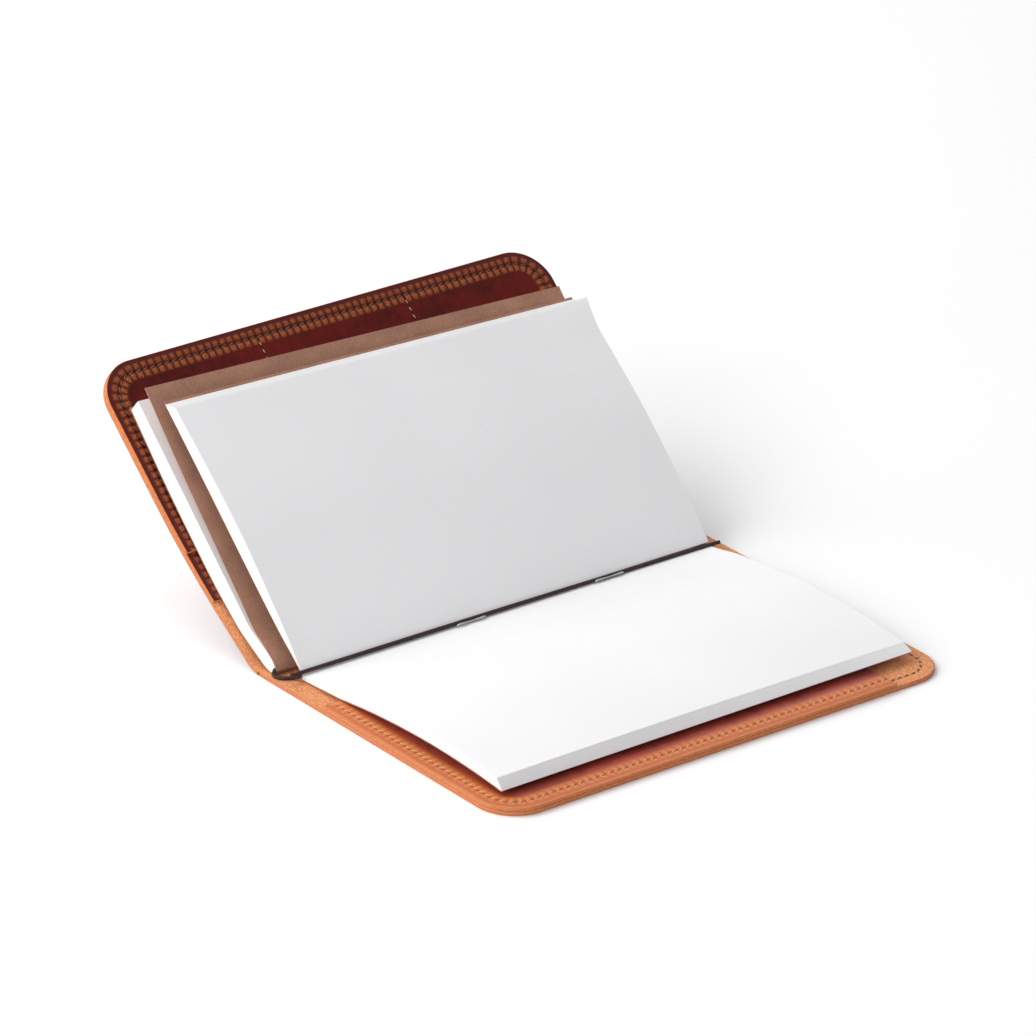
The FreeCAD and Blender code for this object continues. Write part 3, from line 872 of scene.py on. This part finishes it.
def thread(name, tint):
    m = Nodes(name)
    twist = m.wave(m.add(m.times(m.attribute("along"), 9000), m.times(m.noise(m.place(), 900, 4), 3)))
    colour = m.mix(m.ramp(twist, -1, 1), rgb(*tint, 0.7), rgb(*tint))
    return m.done(Base_Color=colour, Roughness=0.62, Normal=m.bump(twist, 0.4, 0.00012))


def braid(name, tint):
    m = Nodes(name)
    where = m.place()
    weave = m.node("TexWave", {"Vector": where, "Scale": 420, "Distortion": 1.5}, bands_direction="DIAGONAL")
    height = m.add(weave.outputs["Fac"], m.cells(m.stretch(where, (1, 0.6, 1)), 1500))
    colour = m.mix(m.ramp(height, 0.3, 1.3), rgb(*tint, 0.55), rgb(*tint))
    return m.done(Base_Color=colour, Roughness=0.75, Normal=m.bump(height, 0.6, 0.0002))


def wire(name):
    m = Nodes(name)
    scratch = m.noise(m.stretch(m.place(), (1, 0.1, 1)), 3000, 2)
    colour = m.mix(scratch, (0.55, 0.55, 0.56), (0.72, 0.72, 0.73))
    return m.done(Base_Color=colour, Metallic=1.0, Roughness=m.ramp(scratch, 0, 1, 0.25, 0.42))


outer = leather("outer_leather", panel=(112, 42, 27), margin=(150, 78, 44), between=(104, 38, 25),
                rows=((140, 66, 36), (146, 68, 38)), hole_shade=(30, 8, 6), suede=True)
front_panel = leather("front_pocket_leather", panel=(102, 20, 14), margin=(78, 22, 16), between=(82, 26, 18),
                      rows=((174, 92, 48), (186, 102, 52)), hole_shade=(44, 12, 8), shine=0.22, dividers=True)
# The back pocket is the front pocket's leather painted lighter and pinker all over, in its panel, band,
# pillows and holes: painted sheen, the window's reflection on its glossy face.
back_panel_painted_sheen = leather("back_pocket_leather_painted_sheen", panel=(180, 78, 64), margin=(204, 120, 66), between=(190, 98, 50),
                     rows=((222, 136, 72), (222, 134, 72)), hole_shade=(168, 86, 44), mottled=0.2, gloss=0.32,
                     seam_rows=BACK_SEAM_ROWS)
white = paper("paper", (244, 243, 244))
brown = kraft("kraft", (166, 122, 101))
tan_thread = thread("tan_thread", (212, 158, 112))
dark_thread = thread("dark_thread", (158, 96, 54))
orange_thread = thread("orange_thread", (250, 178, 112))
cord_braid = braid("elastic_braid", (62, 38, 42))
staple_wire = wire("staple_wire")

dress = {
    "leather_back": outer, "leather_front": outer, "card_pocket_lower": front_panel,
    "card_pocket_upper": front_panel, "sheet_pocket": back_panel_painted_sheen,
    "pages_right": white, "pages_left": white, "pages_closed": white,
    "card_right": brown, "card_left": brown, "card_closed_back": brown, "card_closed_front": brown,
    "elastic_gutter": cord_braid, "elastic_spine": cord_braid, "elastic_closed": cord_braid,
    "staples_open": staple_wire, "staples_closed": staple_wire,
    "stitches_front": dark_thread, "stitches_front_outside": tan_thread,
    "stitches_back": orange_thread, "stitches_back_outside": orange_thread,
    "stitches_divider_0": tan_thread, "stitches_divider_1": tan_thread,
}
for name, piece in pieces.items():
    piece.data.materials.append(dress[name])

# ------------------------------------------------------------------ what moves with what
home = {
    "card_pocket_lower": ("front", "card_pocket_lower_tier", "pocket_leather"),
    "card_pocket_upper": ("front", "card_pocket_upper_tier", "pocket_leather"),
    "sheet_pocket": ("back", "back_pocket_panel", "pocket_leather"),
    "pages_right": ("back", "booklet_2_pages_right", "pages"),
    "pages_left": ("booklet_2_left", "booklet_2_pages_left", "pages"),
    "card_right": ("back", "booklet_2_cover_right", "kraft_card"),
    "card_left": ("booklet_2_left", "booklet_2_cover_left", "kraft_card"),
    "card_closed_back": ("booklet_1", "booklet_1_cover_back", "kraft_card"),
    "card_closed_front": ("booklet_1_leaf", "booklet_1_cover_front", "kraft_card"),
    "elastic_gutter": ("back", "elastic_booklet_2_strand", "elastic_cord"),
    "elastic_spine": ("spine", "elastic_spine_runs", "elastic_cord"),
    "elastic_closed": ("booklet_1", "elastic_booklet_1_strand", "elastic_cord"),
    "staples_open": ("back", "booklet_2_staples", "staple_wire"),
    "staples_closed": ("booklet_1", "booklet_1_staples", "staple_wire"),
    "stitches_front": ("front", "front_seam_thread", "thread"),
    "stitches_back": ("back", "back_seam_thread", "thread"),
    "stitches_divider_0": ("front", "divider_thread_near", "thread"),
    "stitches_divider_1": ("front", "divider_thread_far", "thread"),
}
for name, (body, node, slot) in home.items():
    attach(pieces[name], body)
    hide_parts(node)
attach(pieces["pages_closed"], "booklet_1")
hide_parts("booklet_1_pages_back_half", "booklet_1_pages_front_half")
for name, body in (("stitches_front_outside", "front"), ("stitches_back_outside", "back")):
    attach(pieces[name], body)

# The left half's pages and card each get a mesh of their own.
a = math.radians(LEFT_ANGLE)
flat_level = 2.5
for name in ("pages_left", "card_left"):
    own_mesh(pieces[name], "booklet_2_fold", axis=(math.sin(a), 0, math.cos(a)),
              anchor=row([(flat_level * math.sin(a), 0, GUTTER_Z + flat_level * math.cos(a))])[0], keep=0.35)

# Booklet 1's pages, cards, elastic and staples each get a mesh of their own.
a = math.radians(ANGLE_1)
(tip_x, tip_z), = place_1([CLOSED_WIDTH], [3.6])
for name in ("pages_closed", "card_closed_back", "card_closed_front", "elastic_closed", "staples_closed"):
    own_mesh(pieces[name], "booklet_1_swing", axis=(-math.cos(a), 0, math.sin(a)),
              anchor=row([(tip_x, 0, tip_z)])[0], keep=0.95)

# The outer leather's halves have their placement baked into their meshes, and the solids' outer leather is
# hidden.
low = folded([(3.5, 0, 1), (-9.5, 0, 1), (SPINE_BEND[0] - 5, 0, 1), (FRONT_FOLD - 6, 0, 1)])
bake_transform(pieces["leather_back"])
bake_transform(pieces["leather_front"])
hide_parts("outer_leather_back")
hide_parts("outer_leather_spine", "outer_leather_front")

# ------------------------------------------------------------------ floor, light, camera
bpy.ops.mesh.primitive_plane_add(size=8, location=(0, 0, -0.00005))
floor = bpy.context.object
floor.name = "floor"
floor.data.materials.append(
    Nodes("floor").done(Base_Color=(0.97, 0.97, 0.97), Roughness=0.9, Specular_IOR_Level=0.1))

world = bpy.data.worlds.new("studio")
bpy.context.scene.world = world
world.use_nodes = True
world.node_tree.nodes["Background"].inputs["Color"].default_value = (0.97, 0.98, 1.0, 1)
world.node_tree.nodes["Background"].inputs["Strength"].default_value = 0.36

LIT_PLACE = Vector((-0.06, 0, 0.03))


def soft_light(name, direction, distance, size, power, colour=(1, 1, 1)):
    """A rectangular light, that far off in a direction from the object's middle, facing it."""
    light = bpy.data.lights.new(name, "AREA")
    light.shape = "RECTANGLE"
    light.size, light.size_y = size
    light.energy = power
    light.color = colour
    lamp = bpy.data.objects.new(name, light)
    bpy.context.scene.collection.objects.link(lamp)
    d = Vector(direction).normalized()
    lamp.location = LIT_PLACE + d * distance
    lamp.rotation_mode = "QUATERNION"
    lamp.rotation_quaternion = d.to_track_quat("Z", "Y")


soft_light("key", (-0.62, -0.75, 0.72), 1.6, (1.2, 1.2), 15.5, (1.0, 0.99, 0.97))
soft_light("fill", (0.3, -0.85, 0.42), 2.2, (1.8, 1.2), 24)
soft_light("overhead", (-0.45, -0.1, 0.9), 1.9, (1.2, 1.2), 9)
soft_light("window", (-0.70, 0.57, 0.40), 2.2, (3.0, 1.6), 16, (0.98, 0.98, 1.0))

camera = bpy.data.cameras.new("camera")
camera.sensor_width = 36
camera.lens = 263.4
camera.clip_start, camera.clip_end = 0.1, 30
eye = bpy.data.objects.new("camera", camera)
bpy.context.scene.collection.objects.link(eye)
eye_place = (2.0896, -1.73679, 1.33047)
right = (0.618898, 0.785126, 0.023268)
down = (0.343631, -0.244002, -0.906852)
ahead = (-0.706316, 0.569245, -0.420806)
eye.matrix_world = Matrix([(right[k], -down[k], -ahead[k], eye_place[k]) for k in range(3)] + [(0, 0, 0, 1)])
bpy.context.scene.camera = eye
bpy.context.scene.view_settings.view_transform = "Standard"
